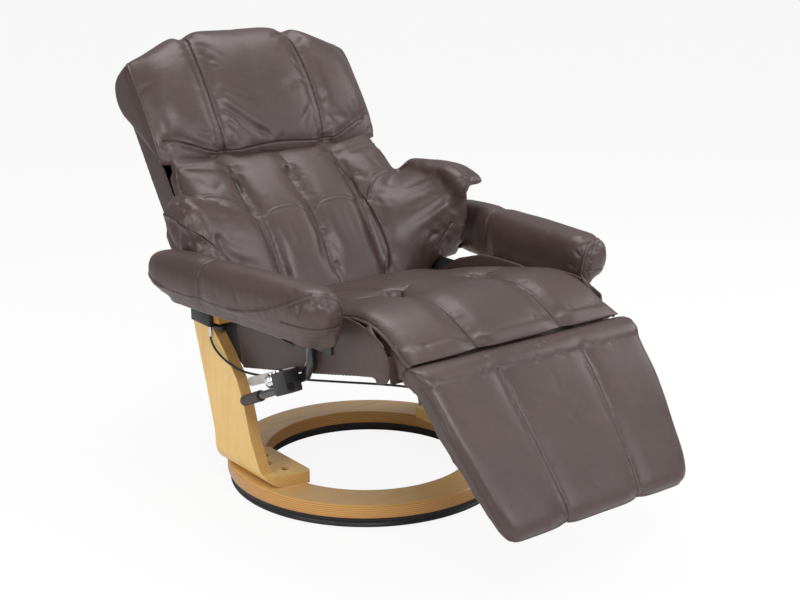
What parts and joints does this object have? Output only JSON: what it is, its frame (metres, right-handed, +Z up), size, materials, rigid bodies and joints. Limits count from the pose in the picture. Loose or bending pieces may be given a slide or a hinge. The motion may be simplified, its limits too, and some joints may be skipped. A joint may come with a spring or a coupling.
{
  "type": "reclining swivel armchair",
  "caption": "Leather relax armchair with reclining back, head cushion, elbow wings and folding footrest on bentwood legs and a swivelling ring base.",
  "frame": {"origin": "on the floor, under the middle of the whole outline", "axes": "+Z up, -Y the way the sitter faces, +X the sitter's left"},
  "size_m": [0.9126, 1.4055, 0.9783],
  "materials": {
    "bearing_steel": "oiled steel",
    "beech_ring": "clear lacquered solid beech",
    "bent_plywood": "clear lacquered bent beech plywood",
    "black_metal": "satin black paint",
    "black_plastic": "gloss black",
    "bright_steel": "zinc plated",
    "cage_plastic": "matt",
    "dark_steel": "dark powder coat",
    "frame_plywood": "raw plywood",
    "grey_plastic": "light grey matt",
    "leather_brown": "soft grained leather with a low sheen",
    "leather_panel": "leather stretched over board",
    "matte_black": "matt black",
    "piston_black": "satin",
    "rubber_black": "matt",
    "rubber_grip": "matt rubber",
    "turned_aluminium": "turned bright",
    "webbing": "woven elastic strap"
  },
  "bodies": {
    "floor": {"floor_ring": "black_plastic", "glide_pads": "rubber_black", "lower_race": "bearing_steel"},
    "swivel_top": {"upper_race": "bearing_steel", "wood_ring": "beech_ring", "leg_left": "bent_plywood", "leg_right": "bent_plywood", "leg_bolts": "black_metal", "seat_frame": "frame_plywood", "seat_webbing": "webbing", "seat_cushion": "leather_brown", "seat_panel_left": "leather_panel", "seat_panel_right": "leather_panel", "side_plate_left": "dark_steel", "side_plate_right": "dark_steel", "spacer_pucks": "rubber_black", "plate_bolts": "black_metal", "arm_board_left": "leather_panel", "arm_board_right": "leather_panel", "arm_pad_left": "leather_brown", "arm_pad_right": "leather_brown", "arm_brackets": "dark_steel", "arm_blocks": "beech_ring", "back_pins": "bright_steel", "footrest_brackets": "dark_steel", "footrest_pins": "bright_steel", "lever_plate": "dark_steel", "lever_screws": "black_metal", "cable_housing": "matte_black", "cable_ferrule": "bright_steel", "release_cable": "matte_black", "release_head": "matte_black", "gas_bracket": "dark_steel", "gas_rod": "bright_steel"},
    "ball_ring": {"ball_cage": "cage_plastic", "bearing_balls": "bearing_steel"},
    "back": {"back_frame": "dark_steel", "back_shell": "leather_panel", "back_pad": "leather_brown", "head_cushion": "leather_brown", "wing_left": "leather_brown", "wing_right": "leather_brown"},
    "footrest": {"footrest_leaves": "dark_steel", "footrest_board": "frame_plywood", "footrest_pad": "leather_brown"},
    "lever": {"lever_bar": "black_metal", "lever_clamp": "matte_black", "lever_tube": "black_metal", "lever_grip": "rubber_grip", "lever_knob": "turned_aluminium"},
    "paddle": {"clamp_paddle": "grey_plastic"},
    "button": {"recline_button": "black_plastic"},
    "gas_sleeve": {"gas_cylinder": "piston_black"}
  },
  "joints": [
    {"name": "swivel", "type": "hinge", "parent": "floor", "child": "swivel_top", "pos_m": [0, 0.0646, 0], "axis": [0, 0, 1], "continuous": true},
    {"name": "ball_ring_turn", "type": "hinge", "parent": "floor", "child": "ball_ring", "pos_m": [0, 0.0646, 0], "axis": [0, 0, 1], "continuous": true},
    {"name": "back_recline", "type": "hinge", "parent": "swivel_top", "child": "back", "pos_m": [0, 0.18408, 0.39981], "axis": [-1, 0, 0], "range_deg": [-16, 14]},
    {"name": "gas_slide", "type": "slide", "parent": "swivel_top", "child": "gas_sleeve", "axis": [0, 1, 0], "range_m": [-0.031, 0.035]},
    {"name": "footrest_fold", "type": "hinge", "parent": "swivel_top", "child": "footrest", "pos_m": [0, -0.4674, 0.394], "axis": [-1, 0, 0], "range_deg": [-41, 40]},
    {"name": "lever_press", "type": "hinge", "parent": "swivel_top", "child": "lever", "pos_m": [-0.3033, -0.1574, 0.438], "axis": [-1, 0, 0], "range_deg": [0, 8], "stiffness_Nm_per_rad": 8, "springref_deg": -6.88},
    {"name": "paddle_press", "type": "hinge", "parent": "lever", "child": "paddle", "pos_m": [-0.2983, -0.08496, 0.34631], "axis": [-1, 0, 0], "range_deg": [0, 10], "stiffness_Nm_per_rad": 0.6, "springref_deg": -8.59},
    {"name": "button_press", "type": "slide", "parent": "swivel_top", "child": "button", "axis": [0, 0, 1], "range_m": [0, 0.004], "stiffness_N_per_m": 400}
  ],
  "couplings": [
    {"joint": "ball_ring_turn", "follows": "swivel", "ratio": 0.5},
    {"joint": "gas_slide", "follows": "back_recline", "m_per_rad": -0.118}
  ]
}
